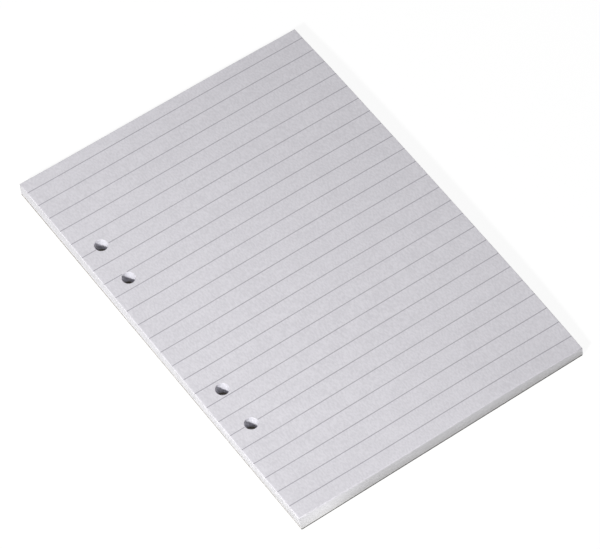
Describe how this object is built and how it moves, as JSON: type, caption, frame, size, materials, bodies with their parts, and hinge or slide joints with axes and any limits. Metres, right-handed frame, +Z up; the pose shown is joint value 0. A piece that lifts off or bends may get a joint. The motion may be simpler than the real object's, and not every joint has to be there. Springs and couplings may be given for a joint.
{
  "type": "lined notepad",
  "caption": "Flat writing pad: a block of ruled sheets on a stiff backing board, glued along its head and drilled along its left edge for a ring file.",
  "frame": {"origin": "middle of the backing board's underside, below the middle of the pad", "axes": "+X across the page away from the drilled edge, +Y up the page to the glued head, +Z up out of the top sheet"},
  "size_m": [0.148, 0.2102, 0.0085],
  "materials": {
    "paper": "uncoated matt writing paper",
    "ink": "thin matt printed ink",
    "greyboard": "uncoated pressed board with fibres",
    "padding_glue": "thin dried glue film"
  },
  "bodies": {
    "root": {"sheet_block": "paper", "ruled_lines": "ink", "backing_board": "greyboard", "head_glue": "padding_glue"}
  },
  "joints": []
}
